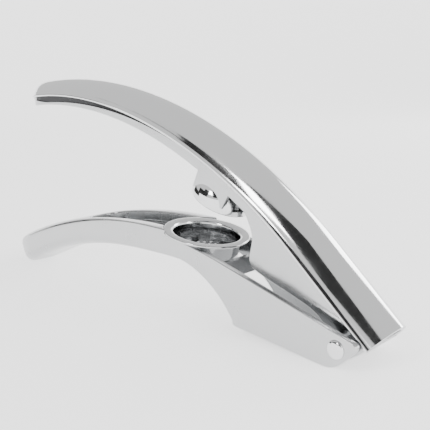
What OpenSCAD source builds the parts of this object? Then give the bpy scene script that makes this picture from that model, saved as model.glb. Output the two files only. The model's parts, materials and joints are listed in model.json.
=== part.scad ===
// Garlic press: a forked lower handle with a sieve cup, and a domed upper lever
// with a plunger, joined by one rivet.  Lengths are in millimetres.
// Everything is drawn in the cup's own frame: origin at the middle of the cup's rim,
// +X towards the hinge, +Z out of the cup.  in_place() then stands the press on its
// hinge end and its grip end.

/* [Cup] */
// Outer radius of the basket's flange
flange_r = 16.2; // [15.8:0.1:17]
// Inner radius of the cup at its rim
mouth_r = 13.5; // [13.4:0.1:13.6]
// Inner radius of the cup at the sieve
sieve_r = 12; // [11.9:0.1:12.1]
// Depth of the sieve's upper face below the rim
cup_depth = 7.7; // [7:0.1:8.5]
// Thickness of the flange
flange_t = 1; // [0.8:0.1:1.2]
// Thickness of the pressed basket
basket_wall = 0.7; // [0.5:0.1:0.7]
// Radius of one sieve hole
hole_r = 0.75; // [0.5:0.05:0.9]
// Distance between neighbouring sieve holes
hole_pitch = 2.5; // [2.2:0.1:3]

/* [Hinge] */
// Distance from the cup's middle to the rivet
pivot_x = 69; // [68:0.5:70]
// Depth of the rivet below the rim
pivot_drop = 13.7; // [13:0.1:14.5]
// Radius of the rivet's shank
rivet_r = 2; // [1.5:0.1:2.5]
// Radius of the rivet's domed heads
rivet_head_r = 3; // [2.8:0.1:3.6]
// Angle that the lever is lifted from closed as drawn
open_angle = 18; // [0:1:60]

/* [Lower handle] */
// Half of the width across the fork's cheeks
cheek_y = 14.2; // [14.2:0.1:15]
// Thickness of each cheek
cheek_t = 2.4; // [2:0.1:2.5]
// Radius of the grip's upper surface along its length
grip_arc_r = 223; // [215:1:230]
// Thickness of the grip where it meets the cup
grip_thin = 9.3; // [9:0.1:10]
// Thickness of the grip at its tip
grip_thick = 12.4; // [12:0.1:13]
// Depth of the trough in the grip's upper side
trough_depth = 5.4; // [5:0.1:6]

/* [Upper lever] */
// Radius of the lever's crest along its length
lever_arc_r = 190; // [185:1:195]
// Radius of the lever's domed cross-section
dome_r = 11.3; // [10.8:0.1:11.3]
// Wall thickness of the domed shell
dome_wall = 1.9; // [1.6:0.1:2.2]
// Depth of the shell's lip below the crest
lip_depth = 8; // [7.5:0.1:8.5]
// Half of the width across the two webs
web_y = 9.3; // [9:0.1:9.4]
// Thickness of each web
web_t = 2; // [1.6:0.1:2.2]
// Radius of the plunger's face
plunger_r = 11.6; // [11:0.1:11.6]

/* [Hidden] */
$fn = 64;

chrome = [0.80, 0.81, 0.82];
satin = [0.70, 0.71, 0.72];
steel = [0.62, 0.63, 0.65];

stand_tilt = 8.5;
stand_x = 17.6;
stand_z = 30.79;

running_gap = 0.06;
side_gap = 0.1;
cheek_in = cheek_y - cheek_t;
pivot_z = -pivot_drop;

// The lever's crest is an arc that ends in a straight run to the hinge.
lever_cx = pivot_x - 75.6;
lever_cz = pivot_z - 162.2;
lever_tip_phi = -35.2;
lever_end_phi = 15;
lever_run = 37;

// The grip's upper surface is an arc that starts at the cup.
grip_cx = 16;
grip_cz = 2 - grip_arc_r;
grip_tip_phi = -33.6;
grip_cup_phi = -3.5;
grip_tip_y = 11.5;

// ---------------------------------------------------------------- helpers
function lever_at(phi, depth) = [
    lever_cx + (lever_arc_r - depth) * sin(phi),
    lever_cz + (lever_arc_r - depth) * cos(phi)
];
function lever_run_at(along, depth) = lever_at(lever_end_phi, depth)
    + along * [cos(lever_end_phi), -sin(lever_end_phi)];
function grip_at(phi, depth) = [
    grip_cx + (grip_arc_r - depth) * sin(phi),
    grip_cz + (grip_arc_r - depth) * cos(phi)
];
function grip_depth(phi) = grip_thin
    + (grip_thick - grip_thin) * (grip_cup_phi - phi) / (grip_cup_phi - grip_tip_phi);
function web_depth(phi) = 10.4 + 2.1 * (phi - lever_tip_phi) / 33.6;

// Stands a piece of the press on the ground plane.
module in_place() {
    translate([stand_x, 0, stand_z]) rotate([0, stand_tilt, 0]) children();
}

// Swings a piece of the closed lever up to the angle it is drawn at.
module lifted() {
    in_place()
        translate([pivot_x, 0, pivot_z]) rotate([0, open_angle, 0])
            translate([-pivot_x, 0, -pivot_z]) children();
}

// Extrudes a side view across Y from y0 to y1.
module side_plate(y0, y1) {
    translate([0, y1, 0]) rotate([90, 0, 0]) linear_extrude(height = y1 - y0) children();
}

// A round bar along Y through the hinge.
module hinge_bar(r, y0, y1) {
    translate([pivot_x, y1, pivot_z]) rotate([90, 0, 0]) cylinder(r = r, h = y1 - y0);
}

// Revolves a section along an arc in the XZ plane, from angle phi0 to phi1 off vertical.
module along_arc(cx, cz, phi0, phi1) {
    translate([cx, 0, cz]) rotate([90, 0, 0]) rotate([0, 0, 90 - phi1])
        rotate_extrude(angle = phi1 - phi0, $fn = 180) children();
}

// ---------------------------------------------------------------- lower handle
module grip_side() {
    tip_round = grip_thick / 2;
    polygon([
        for (i = [0:16]) let (phi = grip_tip_phi + (grip_cup_phi - grip_tip_phi) * i / 16)
            grip_at(phi, 0),
        for (i = [0:16]) let (phi = grip_cup_phi + (grip_tip_phi - grip_cup_phi) * i / 16)
            grip_at(phi, grip_depth(phi)),
        for (a = [165:-15:15])
            grip_at(grip_tip_phi, tip_round * (1 - cos(a)))
                + tip_round * sin(a) * [-cos(grip_tip_phi), sin(grip_tip_phi)]
    ]);
}

// Plan outline of the grip: a round tip that widens to the fork.
module grip_plan() {
    tip_x = grip_at(grip_tip_phi, 0)[0] + grip_tip_y - 4.5;
    translate([tip_x, 0]) circle(r = grip_tip_y);
    polygon([
        [tip_x, -grip_tip_y], [-14, -cheek_y], [0, -cheek_y],
        [0, cheek_y], [-14, cheek_y], [tip_x, grip_tip_y]
    ]);
}

module lower_grip() {
    color(satin) in_place() difference() {
        intersection() {
            side_plate(-cheek_y, cheek_y) grip_side();
            translate([0, 0, -80]) linear_extrude(height = 100) grip_plan();
        }
        // Trough between the side walls, open at the top.
        along_arc(grip_cx, grip_cz, -21, grip_cup_phi)
            translate([grip_arc_r - trough_depth, -9.2]) square([20, 18.4]);
        // Seat for the basket, and the edge where the cheeks take over.
        basket_seat();
        translate([-1, -20, -30]) cube([40, 40, 60]);
    }
}

// Side view of one cheek of the fork.
module cheek_side() {
    difference() {
        polygon([
            [-1, -flange_t], [14, -2], [34, -4.4], [60, -7.6], [73.4, -9.7],
            for (a = [70:-20:-30]) [74.2 + 1.5 * cos(a), -11.2 + 1.5 * sin(a)],
            for (a = [-35:-15:-95]) [67.2 + 3.4 * cos(a), -17.6 + 3.4 * sin(a)],
            [30.5, -22.6],
            for (a = [-95:-25:-170]) [30.4 + 1.6 * cos(a), -21 + 1.6 * sin(a)],
            for (a = [42:6:84]) [-1.5 + 40 * cos(a), -47.8 + 40 * sin(a)],
            [-1, -7.8]
        ]);
        translate([pivot_x, pivot_z]) circle(r = rivet_r);
    }
}

module cheek(side) {
    color(satin) in_place()
        difference() {
            side_plate(side > 0 ? cheek_in : -cheek_y, side > 0 ? cheek_y : -cheek_in)
                cheek_side();
            basket_seat();
        }
}
module near_cheek() { cheek(-1); }
module far_cheek() { cheek(1); }

// Cross wall that ties the two cheeks behind the cup.
module fork_bridge() {
    color(satin) in_place() translate([17.4, -cheek_in, -10.5])
        cube([1.8, 2 * cheek_in, 6.5]);
}

// ---------------------------------------------------------------- basket
// Half-section of the cup's wall, moved outwards by grow.
function cup_wall(grow) = [
    [sieve_r + grow, -cup_depth - basket_wall], [sieve_r + 0.1 + grow, -5],
    [sieve_r + 0.7 + grow, -2.4], [mouth_r + grow, 0]
];

module sieve_basket() {
    outer = cup_wall(basket_wall);
    color(steel) in_place() rotate_extrude($fn = 96) polygon([
        each cup_wall(0), [flange_r - 0.4, 0], [flange_r, -0.4], [flange_r, -flange_t],
        [mouth_r + basket_wall / 2, -flange_t], outer[2], outer[1], outer[0]
    ]);
}

// The seat around the basket, with a gap on every side.
module basket_seat() {
    rotate_extrude($fn = 96) polygon([
        [0, -cup_depth - 9], [sieve_r + basket_wall + side_gap, -cup_depth - 9],
        each cup_wall(basket_wall + side_gap), [0, 0]
    ]);
    translate([0, 0, -flange_t]) cylinder(r = flange_r + side_gap, h = 20, $fn = 96);
}

module sieve_plate() {
    rows = 4;
    color(steel) in_place() translate([0, 0, -cup_depth - basket_wall]) difference() {
        cylinder(r = sieve_r, h = basket_wall);
        for (i = [-rows:rows], j = [-rows:rows]) if (abs(i + j) <= rows)
            translate([hole_pitch * (i + j / 2), hole_pitch * j * sqrt(3) / 2, -1])
                cylinder(r = hole_r, h = 3, $fn = 24);
    }
}

// ---------------------------------------------------------------- rivet and washers
// One domed head whose flat side faces the cheek; side is -1 for near and 1 for far.
module rivet_dome(side) {
    dome_h = 1.3;
    ball_r = (rivet_head_r * rivet_head_r + dome_h * dome_h) / (2 * dome_h);
    translate([pivot_x, side * cheek_y, pivot_z]) rotate([-90 * side, 0, 0])
        intersection() {
            translate([0, 0, dome_h - ball_r]) sphere(r = ball_r);
            cylinder(r = rivet_head_r, h = 4);
        }
}

module pivot_rivet() {
    color(chrome) in_place() {
        hinge_bar(rivet_r, -cheek_y, cheek_y);
        rivet_dome(-1);
    }
}

module rivet_cap() {
    color(chrome) in_place() rivet_dome(1);
}

module washer(y0, y1) {
    color(steel) in_place() difference() {
        hinge_bar(4.2, y0, y1);
        hinge_bar(rivet_r, y0 - 1, y1 + 1);
    }
}
module near_washer() { washer(-cheek_in, -web_y - side_gap); }
module far_washer() { washer(web_y + side_gap, cheek_in); }

// ---------------------------------------------------------------- upper lever
// Half-round section of the shell; x is the distance from the arc's centre.
module shell_section(r, deepest) {
    intersection() {
        translate([lever_arc_r - dome_r, 0]) circle(r = r, $fn = 72);
        translate([lever_arc_r - deepest, -20]) square([20, 40]);
    }
}

module upper_shell() {
    color(chrome) lifted() difference() {
        along_arc(lever_cx, lever_cz, lever_tip_phi, lever_end_phi)
            shell_section(dome_r, lip_depth);
        along_arc(lever_cx, lever_cz, lever_tip_phi + 0.7, lever_end_phi + 1)
            shell_section(dome_r - dome_wall, lip_depth + 1);
    }
}

// The straight stretch of the shell that runs down to the hinge.
module shell_end() {
    end = lever_at(lever_end_phi, 0);
    color(chrome) lifted() translate([end[0], 0, end[1]]) rotate([0, lever_end_phi, 0])
        rotate([0, 90, 0]) linear_extrude(height = lever_run)
            rotate([0, 0, 180]) translate([-lever_arc_r, 0]) difference() {
                shell_section(dome_r, lip_depth);
                shell_section(dome_r - dome_wall, lip_depth + 1);
            }
}

// Side view of one web, in the closed position.
module web_side() {
    top_depth = 6.6;
    difference() {
        polygon([
            for (i = [0:20]) let (phi = -34.4 + (lever_end_phi + 34.4) * i / 20)
                lever_at(phi, top_depth),
            lever_run_at(lever_run - 0.4, top_depth), lever_run_at(lever_run - 0.6, 10.5),
            [pivot_x + 3, pivot_z - 3.9], [pivot_x - 1.5, pivot_z - 4.6],
            [pivot_x - 6, pivot_z - 0.5], [pivot_x - 13, pivot_z + 2.4],
            [pivot_x - 23, pivot_z + 1.3], [pivot_x - 33, pivot_z - 0.4],
            for (a = [-85:-25:-160]) [28.2 + 2 * cos(a), -12.6 + 2 * sin(a)],
            [23.6, -5], [19.5, -1.4], [15.8, 1], [8, 1.2], [7.6, -4.6],
            [-7.6, -4.6], [-8, 1.8],
            for (i = [0:12]) let (phi = -1.2 + (-34.4 + 1.2) * i / 12)
                lever_at(phi, web_depth(phi))
        ]);
        translate([pivot_x, pivot_z]) circle(r = rivet_r + running_gap);
    }
}

module web(side) {
    color(satin) lifted()
        side_plate(side > 0 ? web_y - web_t : -web_y, side > 0 ? web_y : -web_y + web_t)
            web_side();
}
module near_web() { web(-1); }
module far_web() { web(1); }

// Bell-shaped press foot; its flat face points into the cup.
module plunger() {
    face_z = 0.7 - cup_depth;
    color(chrome) lifted() translate([0, 0, face_z]) rotate_extrude($fn = 96) polygon([
        [0, 0], [plunger_r - 0.4, 0], [plunger_r, 0.4], [plunger_r, 1.6],
        [plunger_r - 0.5, 3.2], [plunger_r - 1.3, 4.8], [plunger_r - 2.5, 6.4],
        [plunger_r - 4.2, 7.8], [0, 7.8]
    ]);
}

// Post that carries the plunger between the webs, up to the shell.
module plunger_stem() {
    color(satin) lifted() translate([0, 0, 8.5 - cup_depth]) cylinder(r = 6, h = 10);
}

module pivot_sleeve() {
    color(satin) lifted() difference() {
        hinge_bar(4.2, -web_y + web_t, web_y - web_t);
        hinge_bar(rivet_r + running_gap, -20, 20);
    }
}

lower_grip();
near_cheek();
far_cheek();
fork_bridge();
sieve_basket();
sieve_plate();
pivot_rivet();
rivet_cap();
near_washer();
far_washer();
upper_shell();
shell_end();
near_web();
far_web();
plunger();
plunger_stem();
pivot_sleeve();
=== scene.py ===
import json
import math

import bmesh
import bpy
from mathutils import Matrix, Vector


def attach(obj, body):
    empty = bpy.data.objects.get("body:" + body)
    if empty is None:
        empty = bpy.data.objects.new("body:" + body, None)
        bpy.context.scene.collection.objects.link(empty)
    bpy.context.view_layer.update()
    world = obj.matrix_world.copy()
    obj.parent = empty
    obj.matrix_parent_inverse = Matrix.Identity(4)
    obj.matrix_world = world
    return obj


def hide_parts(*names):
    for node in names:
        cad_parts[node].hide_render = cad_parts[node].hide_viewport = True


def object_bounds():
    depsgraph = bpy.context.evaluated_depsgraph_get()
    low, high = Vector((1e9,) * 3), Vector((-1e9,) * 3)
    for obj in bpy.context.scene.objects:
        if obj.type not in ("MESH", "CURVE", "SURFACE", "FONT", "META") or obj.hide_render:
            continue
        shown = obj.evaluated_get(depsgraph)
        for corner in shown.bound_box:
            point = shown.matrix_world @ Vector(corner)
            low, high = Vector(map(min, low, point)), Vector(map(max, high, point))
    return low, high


# A garlic press in plated metal, on a pale studio floor.
# Shapes are drawn in millimetres in the cup's frame: origin at the middle of the cup's
# rim, +X towards the hinge, +Z out of the cup.  LOWER stands them on the floor, and
# UPPER also swings the closed lever up to the angle it rests at.

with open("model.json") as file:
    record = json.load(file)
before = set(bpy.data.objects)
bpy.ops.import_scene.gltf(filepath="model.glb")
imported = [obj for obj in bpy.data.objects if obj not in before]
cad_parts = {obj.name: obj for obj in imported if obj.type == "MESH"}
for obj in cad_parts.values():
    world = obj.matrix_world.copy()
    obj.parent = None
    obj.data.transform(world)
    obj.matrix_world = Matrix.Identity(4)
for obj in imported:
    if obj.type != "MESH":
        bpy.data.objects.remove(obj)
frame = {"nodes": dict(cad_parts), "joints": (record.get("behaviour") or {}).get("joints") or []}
first_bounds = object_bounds()
bodies = {"lower": "lower_handle", "upper": "upper_lever"}
hinge = frame["joints"][0]

MM = 0.001
MIDDLE = (first_bounds[0] + first_bounds[1]) / 2

# The rivet, the lean of the cup when the press stands, and the lever's swing from closed.
PIVOT_X = 69.0
PIVOT_Z = -13.7
TILT = math.radians(8.5)
LIFT = math.radians(-hinge["range_deg"][0])

# The closed lever: an arc from LEVER_TIP to LEVER_END degrees, then a straight run.
# Its round tip is NOSE long, and its raised lip sinks back over LIP_RUN.
LEVER_R = 190.0
LEVER_CX = PIVOT_X - 75.6
LEVER_CZ = PIVOT_Z - 162.2
LEVER_TIP = -35.2
LEVER_END = 15.0
LEVER_RUN = 37.0
NOSE = 12.0
LIP_RUN = 118.0

# Its section: a dome, the two webs under it, and the groove between the lip and a band.
# KEEL is the depth that the section shrinks towards at the nose.
DOME_R = 11.3
DOME_INNER_R = 9.4
WEB_Y = 9.3
WEB_T = 2.0
GROOVE_Y = 8.4
GROOVE_TOP = 8.2
BAND_TIP = 10.4
BAND_DEEP = 12.5
KEEL = 9.6

# The grip: an arc from GRIP_TIP to GRIP_END degrees, with a trough in its upper side.
GRIP_R = 223.0
GRIP_CX = 16.0
GRIP_CZ = 2.0 - GRIP_R
GRIP_TIP = -33.6
GRIP_END = -4.4
TROUGH_HALF = 9.2
TROUGH_DEPTH = 5.4
TROUGH_START = -21.0

# The fork, the basket, the plunger and the rivet.
CHEEK_Y = 14.2
CHEEK_T = 2.4
SIEVE_R = 12.0
CUP_DEPTH = 7.7
SHEET = 0.7
FLANGE_R = 16.2
PLUNGER_R = 11.6
HEAD_R = 3.0
HEAD_H = 1.3
SHANK_R = 2.0

# The sieve's holes, in a hexagon of HOLE_ROWS rings.
HOLE_R = 0.75
HOLE_PITCH = 2.5
HOLE_ROWS = 4

# The angle above which an edge is shown sharp, in degrees.
SHARP = 38


def standing(turn):
    """From millimetres in the cup's frame to metres in the row's frame."""
    return (
        Matrix.Translation(Vector(hinge["pos_m"]))
        @ Matrix.Rotation(turn, 4, "Y")
        @ Matrix.Scale(MM, 4)
        @ Matrix.Translation((-PIVOT_X, 0, -PIVOT_Z))
    )


LOWER = standing(TILT)
UPPER = standing(TILT + LIFT)


# ---------------------------------------------------------------- small helpers
def smooth(t):
    """Eases from 0 to 1."""
    t = min(max(t, 0.0), 1.0)
    return t * t * (3 - 2 * t)


def mix(a, b, t):
    """The value a share t of the way from a to b."""
    return a + (b - a) * t


def steps(a, b, count):
    """count + 1 even values from a to b."""
    return [mix(a, b, i / count) for i in range(count + 1)]


def arc(cx, cy, r, start, end, count):
    """Points on an arc, with angles in degrees."""
    return [
        (cx + r * math.cos(math.radians(a)), cy + r * math.sin(math.radians(a)))
        for a in steps(start, end, count)
    ]


def rounded(corners, count=6):
    """An outline of (x, z, reach) corners, with each corner eased over its reach."""
    points = []
    for i, (x, z, reach) in enumerate(corners):
        here = Vector((x, z))
        before = Vector(corners[i - 1][:2])
        after = Vector(corners[(i + 1) % len(corners)][:2])
        if reach == 0:
            points.append(here)
            continue
        back, ahead = before - here, after - here
        a = here + back.normalized() * min(reach, back.length * 0.45)
        b = here + ahead.normalized() * min(reach, ahead.length * 0.45)
        for t in steps(0, 1, count):
            points.append(a * (1 - t) ** 2 + here * 2 * t * (1 - t) + b * t * t)
    return points


def inset(outline, amount):
    """The outline moved inwards along its corner normals."""
    n = len(outline)
    turn = sum(
        outline[i - 1][0] * outline[i][1] - outline[i][0] * outline[i - 1][1]
        for i in range(n)
    )
    side = 1 if turn > 0 else -1
    moved = []
    for i in range(n):
        p = Vector(outline[i])
        a = (p - Vector(outline[i - 1])).normalized()
        b = (Vector(outline[(i + 1) % n]) - p).normalized()
        normal = Vector((-(a.y + b.y), a.x + b.x)).normalized()
        stretch = max(normal.dot(Vector((-a.y, a.x))), 0.4)
        moved.append(p + normal * side * amount / stretch)
    return moved


def shade(mesh):
    """Smooth shading, apart from the sharp edges."""
    mesh.shade_smooth()
    mesh.set_sharp_from_angle(angle=math.radians(SHARP))


def linked(name, data):
    """A new object in the scene."""
    obj = bpy.data.objects.new(name, data)
    bpy.context.scene.collection.objects.link(obj)
    return obj


def to_object(name, bm, matrix):
    """Turns a bmesh in millimetres into an object whose origin is the row's origin."""
    bmesh.ops.remove_doubles(bm, verts=bm.verts, dist=0.0005)
    bmesh.ops.recalc_face_normals(bm, faces=bm.faces)
    bm.transform(matrix)
    mesh = bpy.data.meshes.new(name)
    bm.to_mesh(mesh)
    bm.free()
    shade(mesh)
    return linked(name, mesh)


def skin(name, rings, matrix, ends=True, around=True):
    """Joins rings of points into one surface. Each ring closes on itself if around is true,
    and ends caps the first and the last."""
    bm = bmesh.new()
    rows = [[bm.verts.new(p) for p in ring] for ring in rings]
    n = len(rows[0])
    for a, b in zip(rows, rows[1:]):
        for i in range(n if around else n - 1):
            j = (i + 1) % n
            bm.faces.new((a[i], a[j], b[j], b[i]))
    if ends:
        bm.faces.new(reversed(rows[0]))
        bm.faces.new(rows[-1])
    return to_object(name, bm, matrix)


def plate(name, outline, y0, y1, edge, matrix):
    """A flat plate across Y with rounded edges."""
    quarter = [math.radians(a) for a in (0, 22, 45, 68, 90)]
    rounding = [(edge * (1 - math.cos(q)), edge * (1 - math.sin(q))) for q in quarter]
    levels = [(y0 + rise, cut) for rise, cut in rounding]
    levels += [(y1 - rise, cut) for rise, cut in reversed(rounding)]
    rings = [[(p[0], y, p[1]) for p in inset(outline, cut)] for y, cut in levels]
    return skin(name, rings, matrix)


def turned(name, profile, matrix, closed=False, count=96):
    """A profile of (radius, height) points turned about Z."""
    rings = []
    for a in steps(0, 360, count)[:-1]:
        c, s = math.cos(math.radians(a)), math.sin(math.radians(a))
        rings.append([(r * c, r * s, z) for r, z in profile])
    rings.append(rings[0])
    return skin(name, rings, matrix, ends=False, around=closed)


def apply_modifiers(obj):
    """Bakes the object's modifiers into its mesh."""
    graph = bpy.context.evaluated_depsgraph_get()
    mesh = bpy.data.meshes.new_from_object(obj.evaluated_get(graph), depsgraph=graph)
    obj.modifiers.clear()
    obj.data = mesh
    shade(mesh)


def boolean(target, other, operation):
    """Joins other to target, or cuts it away, and removes other."""
    mod = target.modifiers.new("boolean", "BOOLEAN")
    mod.object = other
    mod.operation = operation
    mod.solver = "EXACT"
    apply_modifiers(target)
    bpy.data.objects.remove(other)


def install(obj, side, slot_name, material, *nodes):
    """Gives a piece its finish, its body and the CAD nodes that it stands for."""
    obj.data.materials.clear()
    obj.data.materials.append(material)
    if nodes:
        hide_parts(*nodes)
    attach(obj, bodies[side])


def paint_faces(obj, extra, pick):
    """Adds finishes after the first, and lets pick choose each face's from its middle."""
    for material in extra:
        obj.data.materials.append(material)
    for polygon in obj.data.polygons:
        polygon.material_index = pick(polygon.center)


# ---------------------------------------------------------------- finishes
def plated(name, colour, polish, haze, grain, grain_scale):
    """Plated metal: uneven polish, a soft haze of handling marks and a fine grain."""
    material = bpy.data.materials.new(name)
    material.use_nodes = True
    nodes, links = material.node_tree.nodes, material.node_tree.links
    metal = nodes["Principled BSDF"]
    metal.inputs["Metallic"].default_value = 1.0
    metal.inputs["Base Color"].default_value = (*colour, 1.0)

    place = nodes.new("ShaderNodeTexCoord")
    smears = nodes.new("ShaderNodeTexNoise")
    smears.inputs["Scale"].default_value = 70.0
    smears.inputs["Detail"].default_value = 6.0
    smears.inputs["Roughness"].default_value = 0.62
    links.new(place.outputs["Object"], smears.inputs["Vector"])

    roughness = nodes.new("ShaderNodeMapRange")
    roughness.inputs["From Min"].default_value = 0.35
    roughness.inputs["From Max"].default_value = 0.7
    roughness.inputs["To Min"].default_value = polish
    roughness.inputs["To Max"].default_value = polish + haze
    links.new(smears.outputs["Fac"], roughness.inputs["Value"])
    links.new(roughness.outputs["Result"], metal.inputs["Roughness"])

    stretch = nodes.new("ShaderNodeMapping")
    stretch.inputs["Scale"].default_value = grain_scale
    links.new(place.outputs["Object"], stretch.inputs["Vector"])
    lines = nodes.new("ShaderNodeTexNoise")
    lines.inputs["Scale"].default_value = 1.0
    lines.inputs["Detail"].default_value = 3.0
    links.new(stretch.outputs["Vector"], lines.inputs["Vector"])

    waves = nodes.new("ShaderNodeTexNoise")
    waves.inputs["Scale"].default_value = 45.0
    waves.inputs["Detail"].default_value = 1.0
    links.new(place.outputs["Object"], waves.inputs["Vector"])

    ripple = nodes.new("ShaderNodeBump")
    ripple.inputs["Strength"].default_value = 0.25
    ripple.inputs["Distance"].default_value = 0.00012
    links.new(waves.outputs["Fac"], ripple.inputs["Height"])
    scratch = nodes.new("ShaderNodeBump")
    scratch.inputs["Strength"].default_value = grain
    scratch.inputs["Distance"].default_value = 0.00002
    links.new(lines.outputs["Fac"], scratch.inputs["Height"])
    links.new(ripple.outputs["Normal"], scratch.inputs["Normal"])
    links.new(scratch.outputs["Normal"], metal.inputs["Normal"])
    return material


chrome = plated("chrome", (0.76, 0.765, 0.77), 0.06, 0.10, 0.10, (300, 2500, 2500))
satin = plated("satin", (0.52, 0.525, 0.53), 0.17, 0.14, 0.25, (260, 2600, 2600))
steel = plated("steel", (0.60, 0.605, 0.61), 0.10, 0.12, 0.20, (900, 900, 2600))
# This dark steel is painted shade: it darkens the trough, the gap between the cheeks, the webs'
# inner faces, the sieve plate, the washers and the sleeve.
shade_steel = plated("painted_shade_steel", (0.22, 0.225, 0.23), 0.20, 0.16, 0.30, (900, 900, 900))
# This darker steel on the basket's wall is painted shade inside the cup.
cup_wall = plated("cup_wall", (0.36, 0.365, 0.37), 0.07, 0.10, 0.15, (900, 900, 2600))
# This near-black finish in the lever's groove is painted shadow.
groove_shade = plated("groove_shadow", (0.05, 0.05, 0.052), 0.35, 0.20, 0.30, (900, 900, 900))


# ---------------------------------------------------------------- upper lever
def on_lever(phi, run, y, depth):
    """A point at a depth below the crest, on the arc at phi or further down the run."""
    a, e = math.radians(phi), math.radians(LEVER_END)
    x = LEVER_CX + (LEVER_R - depth) * math.sin(a) + run * math.cos(e)
    z = LEVER_CZ + (LEVER_R - depth) * math.cos(a) - run * math.sin(e)
    return (x, y, z)


def lever_section(band, groove, groove_y, lift):
    """Half of the lever's section from the crest round to its hollow side: (y, depth).
    band is the depth of the inset band under the lip, groove the gap between them,
    groove_y how far in the gap reaches, and lift how far the lip is raised."""
    dome = [
        (DOME_R * math.sin(math.radians(a)), DOME_R * (1 - math.cos(math.radians(a))))
        for a in steps(0, 67 - 5 * lift, 16)
    ]
    bead = arc(10.45 - 0.5 * lift, 7.55 - lift, 0.62, -25, 120, 7)
    top = GROOVE_TOP - lift
    root = top + groove
    step = [(groove_y, top), (groove_y, root), (WEB_Y - 0.02, root), (WEB_Y, root + 0.2)]
    foot = arc(WEB_Y - 0.6, band - 0.6, 0.6, 0, 90, 4)
    foot += arc(WEB_Y - WEB_T + 0.6, band - 0.6, 0.6, 90, 180, 4)
    hollow = [(WEB_Y - WEB_T, 8.2)]
    inside = [
        (
            DOME_INNER_R * math.sin(math.radians(a)),
            DOME_R - DOME_INNER_R * math.cos(math.radians(a)),
        )
        for a in steps(50, 0, 10)
    ]
    return dome + bead + step + foot + hollow + inside


def nose_width(from_tip):
    """How wide the lever is at a distance from its tip: 1 past its round nose."""
    return max(math.sqrt(1 - (1 - min(from_tip / NOSE, 1.0)) ** 2), 0.2)


def lever_ring(phi, run):
    """One ring of the lever, whose nose is blunt from the side and round from above."""
    from_tip = math.radians(phi - LEVER_TIP) * LEVER_R
    shrink = max((1 - (1 - min(from_tip / 5.0, 1.0)) ** 2.4) ** (1 / 2.4), 0.45)
    narrow = nose_width(from_tip)
    groove_y = mix(WEB_Y - 0.05, GROOVE_Y, smooth((from_tip - 3) / 7))
    lift = 1.1 * smooth(1 - from_tip / LIP_RUN)
    groove = mix(2.7, 0.55, smooth(from_tip / LIP_RUN)) * smooth((from_tip + 3) / 22)
    band = mix(BAND_TIP, BAND_DEEP, min((phi - LEVER_TIP) / 33.6, 1.0))
    band -= 3.2 * smooth((run - LEVER_RUN + 7) / 6)
    section = lever_section(band, groove, groove_y, lift)
    half = [(y * narrow, KEEL + (d - KEEL) * shrink) for y, d in section]
    ring = half + [(-y, d) for y, d in reversed(half)][1:-1]
    return [on_lever(phi, run, y, d) for y, d in ring]


def lever_finish(middle):
    """0 on the dome, 1 on the band and the hollow side, 2 in the groove between them, which is
    painted near black as shade.
    """
    point = UPPER.inverted() @ middle
    depth = LEVER_R - math.hypot(point.x - LEVER_CX, point.z - LEVER_CZ)
    end = on_lever(LEVER_END, 0, 0, 0)
    if point.x > end[0]:
        e = math.radians(LEVER_END)
        depth = (end[0] - point.x) * math.sin(e) + (end[2] - point.z) * math.cos(e)
    turn = math.atan2(point.x - LEVER_CX, point.z - LEVER_CZ)
    from_tip = max((turn - math.radians(LEVER_TIP)) * LEVER_R, 0.0)
    side = abs(point.y) / nose_width(from_tip)
    deep_in = GROOVE_Y - 0.02 < side < GROOVE_Y + 0.38
    if deep_in and GROOVE_TOP - 1.4 < depth < GROOVE_TOP + 2.1:
        return 2
    inside = math.hypot(side, DOME_R - depth) < DOME_R - 0.5
    return 1 if depth > GROOVE_TOP + 0.3 or inside else 0


def make_shell():
    """The domed lever, with its stations close together round the nose."""
    nose_turns = [math.radians(a) for a in steps(10, 90, 26)]
    nose = [LEVER_TIP + math.degrees(NOSE * (1 - math.cos(a)) / LEVER_R) for a in nose_turns]
    stations = [(phi, 0) for phi in nose]
    stations += [(phi, 0) for phi in steps(nose[-1], LEVER_END, 70)[1:]]
    stations += [(LEVER_END, run) for run in steps(0, LEVER_RUN, 16)[1:]]
    rings = [lever_ring(phi, run) for phi, run in stations]
    shell = skin("lever_shell", rings, UPPER)
    install(shell, "upper", "chrome", chrome, "upper_shell", "shell_end")
    # The groove gets the near-black finish as painted shadow.
    paint_faces(shell, [satin, groove_shade], lever_finish)


def web_outline():
    """Side view of the deep part of a web, lever closed."""
    hidden, front = 7.6, -0.42
    top = []
    for phi in steps(front, LEVER_END, 20):
        x, _, z = on_lever(phi, 0, 0, hidden)
        top.append((x, z, 0))
    end_top = on_lever(LEVER_END, LEVER_RUN - 0.4, 0, hidden)
    end_low = on_lever(LEVER_END, LEVER_RUN - 0.6, 0, 10.5)
    corners = top + [
        (end_top[0], end_top[2], 0.5),
        (end_low[0], end_low[2], 1.0),
        (PIVOT_X + 3, PIVOT_Z - 3.9, 1.5),
        (PIVOT_X - 1.5, PIVOT_Z - 4.6, 2.0),
        (PIVOT_X - 6, PIVOT_Z - 0.5, 3.0),
        (PIVOT_X - 13, PIVOT_Z + 2.4, 5.0),
        (PIVOT_X - 23, PIVOT_Z + 1.3, 5.0),
        (PIVOT_X - 33, PIVOT_Z - 0.4, 5.0),
        (28.4, -14.8, 2.6),
        (25.6, -13.0, 2.6),
        (23.6, -5.0, 3.0),
        (19.5, -1.4, 2.5),
        (15.8, 1.0, 1.5),
        (8.0, 1.2, 0),
        (7.6, -4.6, 0),
        (-7.6, -4.6, 0),
        (-8.0, 1.8, 2.0),
    ]
    return rounded(corners)


def make_web(name, node, side):
    """One web, satin on its outer face and darkened on its inner faces as painted shade. side is
    -1 for the near one, 1 for the far.
    """
    y0, y1 = sorted((side * (WEB_Y + 0.03), side * (WEB_Y - WEB_T)))
    web = plate(name, web_outline(), y0, y1, 0.3, UPPER)
    install(web, "upper", "satin", satin, node)
    # The inner faces get the dark steel as painted shade.
    paint_faces(web, [shade_steel], lambda middle: int(abs(middle.y) < (WEB_Y - 0.4) * MM))


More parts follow.
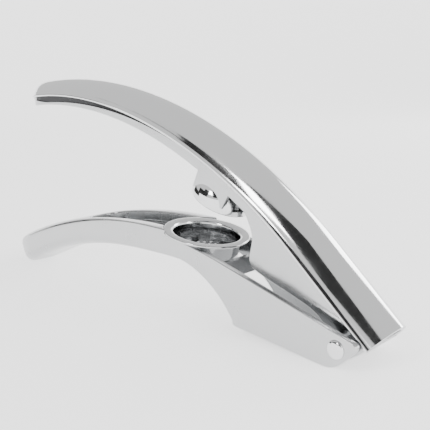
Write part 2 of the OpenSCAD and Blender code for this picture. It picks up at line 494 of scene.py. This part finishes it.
def make_plunger():
    """The bell, with a soft rim, a concave waist and a neck up between the webs."""
    face = 0.7 - CUP_DEPTH
    profile = [(0, face), (PLUNGER_R - 0.8, face)]
    profile += arc(PLUNGER_R - 0.6, face + 0.6, 0.6, -80, 0, 6)
    profile += arc(PLUNGER_R - 7.6, face + 0.9, 7.6, 0, 66, 20)
    profile += [(6.9, 1.6), (6.5, 2.4), (6.4, 4.0), (0, 4.0)]
    bell = turned("plunger_bell", profile, UPPER)
    install(bell, "upper", "chrome", chrome, "plunger")


# ---------------------------------------------------------------- lower handle
def on_grip(phi, y, depth, beyond=0.0):
    """A point at a depth below the grip's upper arc, moved past the tip by beyond."""
    a = math.radians(phi)
    x = GRIP_CX + (GRIP_R - depth) * math.sin(a) - beyond * math.cos(a)
    z = GRIP_CZ + (GRIP_R - depth) * math.cos(a) + beyond * math.sin(a)
    return (x, y, z)


def grip_half_width(x):
    """Half of the grip's width: a round tip that widens evenly up to the fork."""
    round_x, tip_half, nose, straight_x = -96.0, 11.2, 15.0, -14.0
    if x < round_x:
        return tip_half * math.sqrt(max(1 - ((round_x - x) / nose) ** 2, 0.1))
    return mix(tip_half, CHEEK_Y, min((x - round_x) / (straight_x - round_x), 1.0))


def grip_section(half, top, bottom, crown, belly, trough_half, trough):
    """Half of the grip's section, from the middle of its underside up and over: (y, depth)."""
    lip = min(0.9, trough * 0.3)
    fillet = min(1.8, trough * 0.45)
    points = [(0, bottom)]
    points += arc(half - belly, bottom - belly, belly, 90, 0, 8)
    points += arc(half - crown, top + crown, crown, 0, -90, 6)
    points += arc(trough_half + lip, top + lip, lip, -90, -180, 4)
    points += arc(trough_half - fillet, top + trough - fillet, fillet, 0, 90, 5)
    points += [(trough_half * 0.5, top + trough), (0, top + trough)]
    return points


def grip_ring(phi, swing=0.0):
    """One ring of the grip. swing turns it from 0 to 90 degrees round the tip's nose."""
    thick = mix(9.3, 12.4, (GRIP_END + 0.9 - phi) / (GRIP_END + 0.9 - GRIP_TIP))
    beyond = thick / 2 * math.sin(math.radians(swing))
    squeeze = thick / 2 * (1 - math.cos(math.radians(swing)))
    x = on_grip(phi, 0, thick / 2, beyond)[0]
    half = grip_half_width(x)
    body = thick - 2 * squeeze
    crown = min(mix(3.4, 0.6, smooth((x + 98) / 75)), body * 0.4)
    belly = min(mix(4.2, 0.35, smooth((x + 70) / 58)), body * 0.45)
    into_trough = math.radians(phi - TROUGH_START) * GRIP_R
    wide = min(max(into_trough / TROUGH_HALF, 0.0), 1.0)
    trough_half = max(TROUGH_HALF * math.sqrt(1 - (1 - wide) ** 2), 1.5)
    trough = TROUGH_DEPTH * smooth(into_trough / 5.0) if swing == 0 else 0.0
    section = grip_section(half, squeeze, thick - squeeze, crown, belly, trough_half, trough)
    ring = section + [(-y, d) for y, d in reversed(section)][1:-1]
    return [on_grip(phi, y, d, beyond) for y, d in ring]


def cheek_outline():
    """Side view of one cheek, with its front end buried in the grip."""
    hollow = arc(-1.5, -47.8, 40, 42, 84, 16)
    corners = [
        (-8.0, -1.0, 0),
        (14.0, -2.0, 6.0),
        (34.0, -4.4, 8.0),
        (60.0, -7.6, 8.0),
        (75.4, -9.7, 2.0),
        (75.6, -11.9, 1.2),
        (69.2, -20.8, 4.0),
        (28.4, -22.7, 2.6),
    ]
    corners += [(x, z, 0) for x, z in hollow]
    corners += [(-8.0, -7.6, 0)]
    return rounded(corners)


def handle_finish(middle):
    """1 in the trough and between the cheeks, where the casting is darkened as painted shade."""
    point = LOWER.inverted() @ middle
    if point.x < -1.0:
        depth = GRIP_R - math.hypot(point.x - GRIP_CX, point.z - GRIP_CZ)
        return int(abs(point.y) < TROUGH_HALF + 0.1 and 0.7 < depth < TROUGH_DEPTH + 0.1)
    return int(abs(point.y) < CHEEK_Y - CHEEK_T + 0.1)


def make_lower_handle():
    """Grip and fork in one casting, with the basket's seat cut into it."""
    rings = [grip_ring(GRIP_TIP, swing) for swing in steps(86, 0, 12)]
    rings += [grip_ring(phi) for phi in steps(GRIP_TIP, TROUGH_START, 22)[1:]]
    rings += [grip_ring(TROUGH_START + 0.12 * i) for i in range(1, 22)]
    rings += [grip_ring(phi) for phi in steps(TROUGH_START + 2.6, GRIP_END, 34)[1:]]
    handle = skin("lower_casting", rings, LOWER)
    for name, side in (("cheek_near", -1), ("cheek_far", 1)):
        y0, y1 = sorted((side * CHEEK_Y, side * (CHEEK_Y - CHEEK_T)))
        boolean(handle, plate(name, cheek_outline(), y0, y1, 0.35, LOWER), "UNION")
    seat_r = SIEVE_R + SHEET + 0.1
    seat = [(0, -20), (seat_r, -20), (seat_r + 0.1, -5), (seat_r + 0.7, -2.4)]
    seat += [(seat_r + 1.1, -1.02), (FLANGE_R + 0.1, -1.02), (FLANGE_R + 0.1, 12), (0, 12)]
    boolean(handle, turned("seat_cutter", seat, LOWER), "DIFFERENCE")
    install(handle, "lower", "satin", satin, "lower_grip", "near_cheek", "far_cheek")
    # The trough and the faces between the cheeks get the dark steel as painted shade.
    paint_faces(handle, [shade_steel], handle_finish)


def make_basket():
    """Pressed basket: rolled mouth, flat flange with a soft edge, thin wall."""
    bottom = -CUP_DEPTH - SHEET
    profile = [(SIEVE_R - 0.02, bottom), (SIEVE_R + 0.02, -5.0), (SIEVE_R + 0.18, -2.6)]
    profile += arc(13.9, -1.5, 1.5, 180, 90, 10)
    profile += [(14.8, 0.0)]
    profile += arc(FLANGE_R - 0.5, -0.5, 0.5, 90, -90, 8)
    profile += [(13.9, -1.0), (13.35, -2.4), (12.8, -5.0), (SIEVE_R + SHEET, bottom)]
    basket = turned("sieve_basket_cup", profile, LOWER, closed=True, count=128)
    install(basket, "lower", "steel", steel, "sieve_basket")
    # The wall below the flange gets the darker steel as painted shade inside the cup.
    paint_faces(basket, [cup_wall], lambda middle: int((LOWER.inverted() @ middle).z < -1.2))


def make_rivet():
    """Near head and shank in one turned piece, and the far head as another."""
    side_h = 0.25
    dome = [(HEAD_R * c, side_h + (HEAD_H - side_h) * s) for c, s in arc(0, 0, 1, 0, 90, 14)]
    heads = (("rivet_near", -1, "pivot_rivet"), ("rivet_far", 1, "rivet_cap"))
    for name, side, node in heads:
        turn = Matrix.Translation((PIVOT_X, side * CHEEK_Y, PIVOT_Z))
        turn = turn @ Matrix.Rotation(math.radians(-90 * side), 4, "X")
        start = [(0, 0)]
        if side < 0:
            start = [(0, -2 * CHEEK_Y), (SHANK_R, -2 * CHEEK_Y), (SHANK_R, 0)]
        profile = start + [(HEAD_R - 0.15, 0)] + dome
        head = turned(name, profile, LOWER @ turn, count=64)
        install(head, "lower", "chrome", chrome, node)


# ---------------------------------------------------------------- repeated details
def rim_nodes(material):
    """Geometry nodes: a thin raised rim at every point of the mesh."""
    group = bpy.data.node_groups.new("hole_rims", "GeometryNodeTree")
    sockets = group.interface
    sockets.new_socket("Geometry", in_out="INPUT", socket_type="NodeSocketGeometry")
    radius = sockets.new_socket("Rim radius", in_out="INPUT", socket_type="NodeSocketFloat")
    radius.default_value = (HOLE_R + 0.1) * MM
    wire = sockets.new_socket("Wire radius", in_out="INPUT", socket_type="NodeSocketFloat")
    wire.default_value = 0.13 * MM
    sockets.new_socket("Geometry", in_out="OUTPUT", socket_type="NodeSocketGeometry")
    nodes, links = group.nodes, group.links
    source = nodes.new("NodeGroupInput")
    result = nodes.new("NodeGroupOutput")
    loop = nodes.new("GeometryNodeCurvePrimitiveCircle")
    loop.inputs["Resolution"].default_value = 20
    thread = nodes.new("GeometryNodeCurvePrimitiveCircle")
    thread.inputs["Resolution"].default_value = 8
    tube = nodes.new("GeometryNodeCurveToMesh")
    spread = nodes.new("GeometryNodeInstanceOnPoints")
    lean = nodes.new("FunctionNodeInputVector")
    lean.vector = (0, TILT, 0)
    real = nodes.new("GeometryNodeRealizeInstances")
    paint = nodes.new("GeometryNodeSetMaterial")
    paint.inputs["Material"].default_value = material
    links.new(source.outputs["Rim radius"], loop.inputs["Radius"])
    links.new(source.outputs["Wire radius"], thread.inputs["Radius"])
    links.new(loop.outputs["Curve"], tube.inputs["Curve"])
    links.new(thread.outputs["Curve"], tube.inputs["Profile Curve"])
    links.new(source.outputs["Geometry"], spread.inputs["Points"])
    links.new(tube.outputs["Mesh"], spread.inputs["Instance"])
    links.new(lean.outputs["Vector"], spread.inputs["Rotation"])
    links.new(spread.outputs["Instances"], real.inputs["Geometry"])
    links.new(real.outputs["Geometry"], paint.inputs["Geometry"])
    links.new(paint.outputs["Geometry"], result.inputs["Geometry"])
    return group


def make_hole_rims():
    """The burr that punching leaves round each hole of the sieve."""
    centres = []
    for i in range(-HOLE_ROWS, HOLE_ROWS + 1):
        for j in range(-HOLE_ROWS, HOLE_ROWS + 1):
            if abs(i + j) <= HOLE_ROWS:
                x = HOLE_PITCH * (i + j / 2)
                y = HOLE_PITCH * j * math.sqrt(3) / 2
                centres.append(LOWER @ Vector((x, y, -CUP_DEPTH)))
    mesh = bpy.data.meshes.new("hole_rims")
    mesh.from_pydata(centres, [], [])
    rims = linked("hole_rims", mesh)
    mod = rims.modifiers.new("rims", "NODES")
    mod.node_group = rim_nodes(steel)
    apply_modifiers(rims)
    install(rims, "lower", "steel", steel)


# ---------------------------------------------------------------- CAD pieces kept
def dress_kept_nodes():
    """Finishes for the CAD pieces that are shown as they are."""
    finishes = {
        "fork_bridge": ("satin", satin),
        # The sieve plate, the washers and the sleeve get the dark steel as painted shade.
        "sieve_plate": ("steel", shade_steel),
        "near_washer": ("steel", shade_steel),
        "far_washer": ("steel", shade_steel),
        "plunger_stem": ("satin", satin),
        "pivot_sleeve": ("satin", shade_steel),
    }
    for node, (slot_name, material) in finishes.items():
        piece = frame["nodes"][node]
        piece.data.materials.clear()
        piece.data.materials.append(material)


# ---------------------------------------------------------------- studio
def stage_material(name, grey, glow=0.0):
    """Matt paint for the studio, with a white glow if asked."""
    material = bpy.data.materials.new(name)
    material.use_nodes = True
    paint = material.node_tree.nodes["Principled BSDF"]
    paint.inputs["Base Color"].default_value = (grey, grey, grey, 1)
    paint.inputs["Roughness"].default_value = 0.9
    paint.inputs["Specular IOR Level"].default_value = 0.1
    paint.inputs["Emission Color"].default_value = (1, 1, 1, 1)
    paint.inputs["Emission Strength"].default_value = glow
    return material


def make_floor():
    """A floor that sweeps up into a backdrop on every side."""
    flat, sweep = 1200, 800
    profile = [(0, 0), (flat / 2, 0), (flat, 0)]
    profile += arc(flat, sweep, sweep, -90, -10, 16)
    floor = turned("studio_floor", profile, Matrix.Scale(MM, 4))
    floor.data.flip_normals()
    floor.data.materials.append(stage_material("floor_paint", 0.93, 1.3))


def towards(azimuth, elevation):
    """A direction from the press: azimuth in degrees from +X to +Y, elevation above level."""
    a, e = math.radians(azimuth), math.radians(elevation)
    return Vector((math.cos(a) * math.cos(e), math.sin(a) * math.cos(e), math.sin(e)))


def face_press(obj, back, distance):
    """Puts an object out along back, with its Z axis pointing away from the press."""
    obj.location = MIDDLE + back * distance
    obj.rotation_mode = "QUATERNION"
    obj.rotation_quaternion = back.to_track_quat("Z", "Y")


def card(name, back, distance, width, height, material):
    """A flat card that the press reflects and the camera doesn't see."""
    mesh = bpy.data.meshes.new(name)
    w, h = width / 2, height / 2
    mesh.from_pydata([(-w, -h, 0), (w, -h, 0), (w, h, 0), (-w, h, 0)], [], [(0, 1, 2, 3)])
    mesh.materials.append(material)
    obj = linked(name, mesh)
    obj.visible_camera = False
    face_press(obj, back, distance)


def lamp(name, back, distance, size, power):
    """A soft square light that faces the press from a given direction."""
    light = bpy.data.lights.new(name, "AREA")
    light.shape = "SQUARE"
    light.size = size
    light.energy = power
    face_press(linked(name, light), back, distance)


def make_world():
    """An even white sky."""
    world = bpy.data.worlds.new("studio")
    world.use_nodes = True
    sky = world.node_tree.nodes["Background"]
    sky.inputs["Color"].default_value = (1.0, 1.0, 1.0, 1)
    sky.inputs["Strength"].default_value = 1.0
    bpy.context.scene.world = world


def make_camera():
    """The camera, from the near side and a little above, aimed just above the cup."""
    azimuth, elevation = -47.7, 12.1
    back = towards(azimuth, elevation)
    right = towards(azimuth + 90, 0)
    up = back.cross(right)
    cup = LOWER @ Vector((0, 0, 0))
    lens = bpy.data.cameras.new("camera")
    lens.sensor_width = 36.0
    lens.lens = 58.5
    lens.clip_start = 0.01
    lens.clip_end = 20.0
    camera = linked("camera", lens)
    camera.location = cup + right * 0.003 + up * 0.006 + back * 0.260
    camera.rotation_mode = "QUATERNION"
    camera.rotation_quaternion = Matrix((right, up, back)).transposed().to_quaternion()
    bpy.context.scene.camera = camera


make_shell()
make_web("web_near", "near_web", -1)
make_web("web_far", "far_web", 1)
make_plunger()
make_lower_handle()
make_basket()
make_rivet()
make_hole_rims()
dress_kept_nodes()

make_floor()
make_world()
# The dark cards give the polished dome its dark bands.
dark = stage_material("dark_card", 0.015)
card("dark_low", towards(-160, 13), 0.80, 0.60, 0.20, dark)
card("dark_left", towards(-124, 28), 0.75, 0.60, 0.25, dark)
card("dark_middle", towards(-107, 37), 0.70, 0.24, 0.26, dark)
card("dark_right", towards(-57, 42), 0.70, 0.40, 0.42, dark)
lamp("window", towards(-84, 42), 0.80, 0.24, 2.4)
lamp("rear", towards(84, 22), 1.2, 0.45, 5)
lamp("side", towards(12, 22), 1.2, 0.7, 7)
make_camera()
